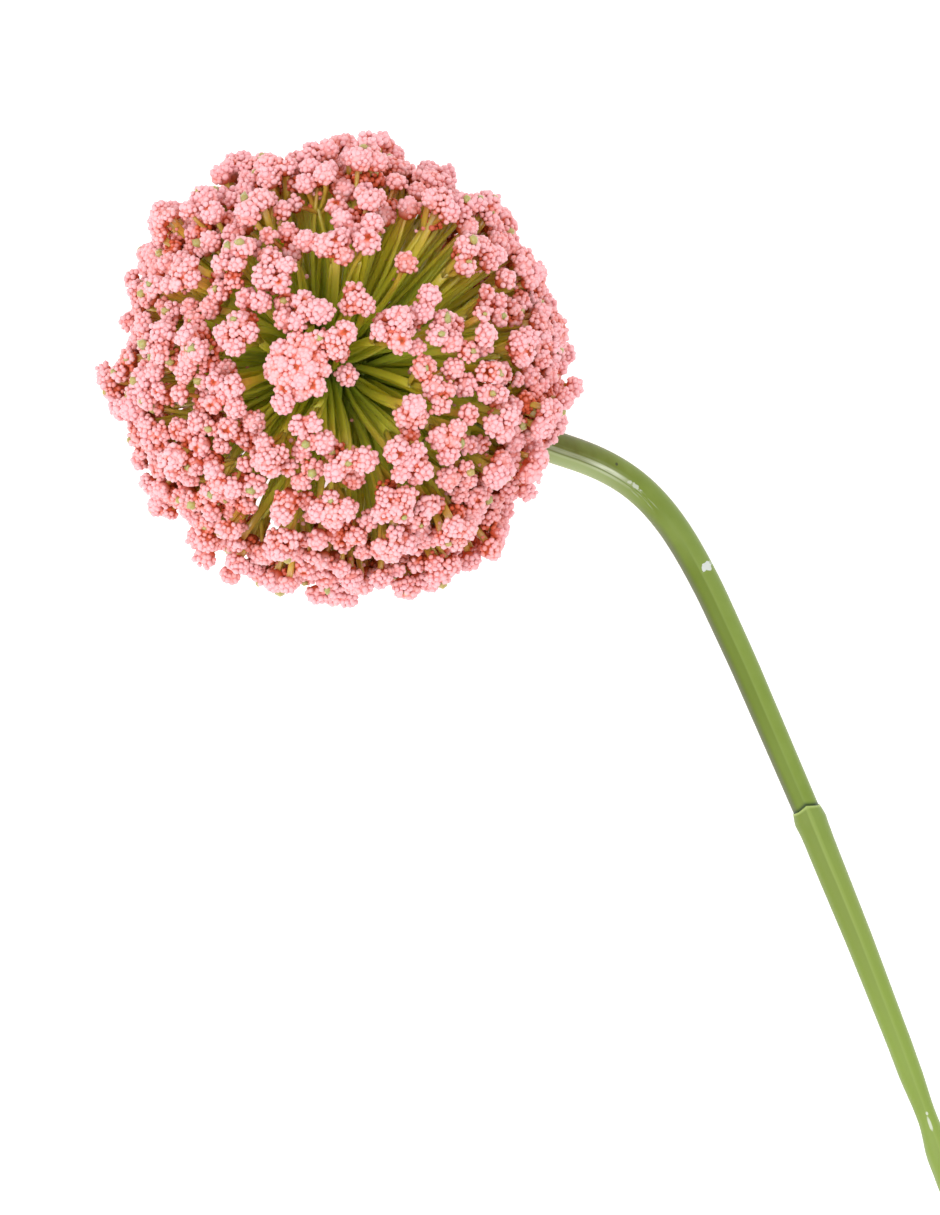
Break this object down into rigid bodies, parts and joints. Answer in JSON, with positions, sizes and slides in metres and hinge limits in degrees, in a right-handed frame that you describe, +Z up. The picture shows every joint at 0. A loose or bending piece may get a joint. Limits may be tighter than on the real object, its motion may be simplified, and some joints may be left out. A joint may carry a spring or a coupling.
{
  "type": "artificial allium flower head",
  "caption": "Round artificial allium head of green plastic rays tipped with pink foam-bead knobs, on a bent two-section stem, lying down.",
  "frame": {"origin": "on the surface that the part lies on, under the middle of its box", "axes": "+Z up, +Y the way the head lies from the cut end of the stem, +X to the right seen from above"},
  "size_m": [0.1928, 0.242, 0.0962],
  "materials": {
    "bead_foam": "pink foam beads, soft matte",
    "ray_plastic": "olive green translucent moulding, satin",
    "stem_plastic": "green moulded plastic, satin",
    "wire_steel": "drawn steel wire"
  },
  "bodies": {
    "root": {"ray_whorl_01": "bead_foam", "ray_whorl_02": "bead_foam", "ray_whorl_03": "bead_foam", "ray_whorl_04": "bead_foam", "ray_whorl_05": "bead_foam", "ray_whorl_06": "bead_foam", "ray_whorl_07": "bead_foam", "ray_whorl_08": "bead_foam", "ray_whorl_09": "bead_foam", "ray_whorl_10": "bead_foam", "ray_whorl_11": "bead_foam", "ray_whorl_12": "bead_foam", "ray_whorl_13": "bead_foam", "head_pin": "wire_steel", "head_cap": "ray_plastic", "stem_upper": "stem_plastic", "stem_upper_wire": "wire_steel", "stem_lower": "stem_plastic", "stem_lower_wire": "wire_steel"}
  },
  "joints": []
}
